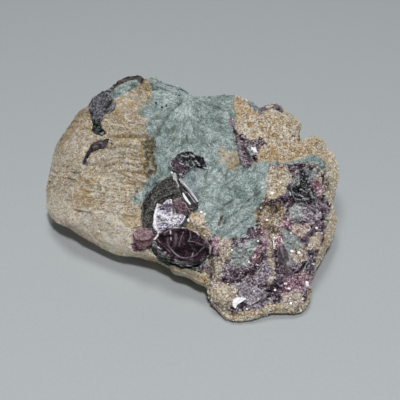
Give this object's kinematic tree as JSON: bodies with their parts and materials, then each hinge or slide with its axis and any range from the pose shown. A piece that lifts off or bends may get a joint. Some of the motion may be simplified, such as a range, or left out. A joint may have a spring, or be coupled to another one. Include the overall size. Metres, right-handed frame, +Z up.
{
  "type": "lepidolite specimen",
  "caption": "Broken hand specimen of pegmatite: buff feldspar, a band of blue-green mica and purple lepidolite, with larger lepidolite books set into it. Rests on its flat base.",
  "frame": {"origin": "centre of the bounding box's underside, on the table that the specimen rests on", "axes": "+X to the right along the longest side, -Y towards the viewer that the display face looks at, +Z up"},
  "size_m": [0.1025, 0.0848, 0.0412],
  "materials": {
    "pegmatite": "matte",
    "dark_lepidolite": "gloss",
    "charcoal_lepidolite": "gloss",
    "grey_lepidolite": "satin",
    "rose_lepidolite": "satin",
    "silver_lepidolite": "gloss"
  },
  "bodies": {
    "root": {"matrix": "pegmatite", "book_cluster": "dark_lepidolite", "upper_book": "charcoal_lepidolite", "shoulder_book": "grey_lepidolite", "crest_plate": "grey_lepidolite", "left_flake": "charcoal_lepidolite", "rose_book": "rose_lepidolite", "vein_book": "silver_lepidolite", "dark_book": "dark_lepidolite", "edge_book": "silver_lepidolite"}
  },
  "joints": []
}
